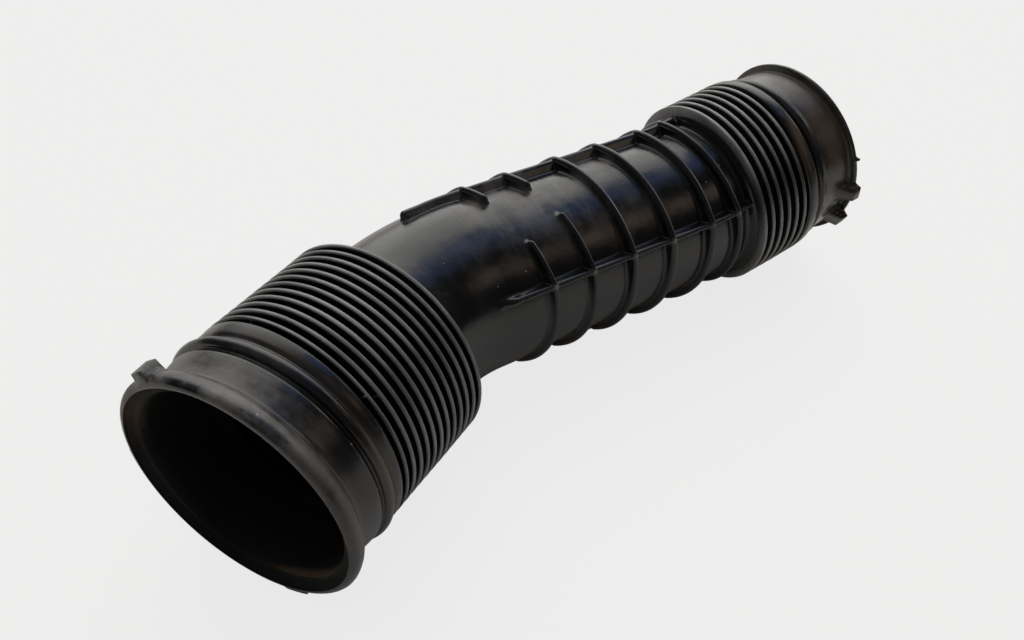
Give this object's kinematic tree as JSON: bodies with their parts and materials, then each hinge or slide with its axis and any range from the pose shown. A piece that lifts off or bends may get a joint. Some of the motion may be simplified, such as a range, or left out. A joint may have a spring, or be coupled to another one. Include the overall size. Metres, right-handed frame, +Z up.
{
  "type": "air intake duct",
  "caption": "Bent rubber air intake duct with a clamp cuff and a bellows at each end, and a smooth middle tube stiffened by lengthwise ribs and rings.",
  "frame": {"origin": "middle of the outline on the floor, with the duct lying as it comes to rest", "axes": "+X along the straight middle tube towards the short bellows, +Z up"},
  "size_m": [0.3244, 0.1349, 0.0947],
  "materials": {
    "rubber": "satin black, dusty and stained brown at both cuffs"
  },
  "bodies": {
    "root": {"intake_duct": "rubber"}
  },
  "joints": []
}
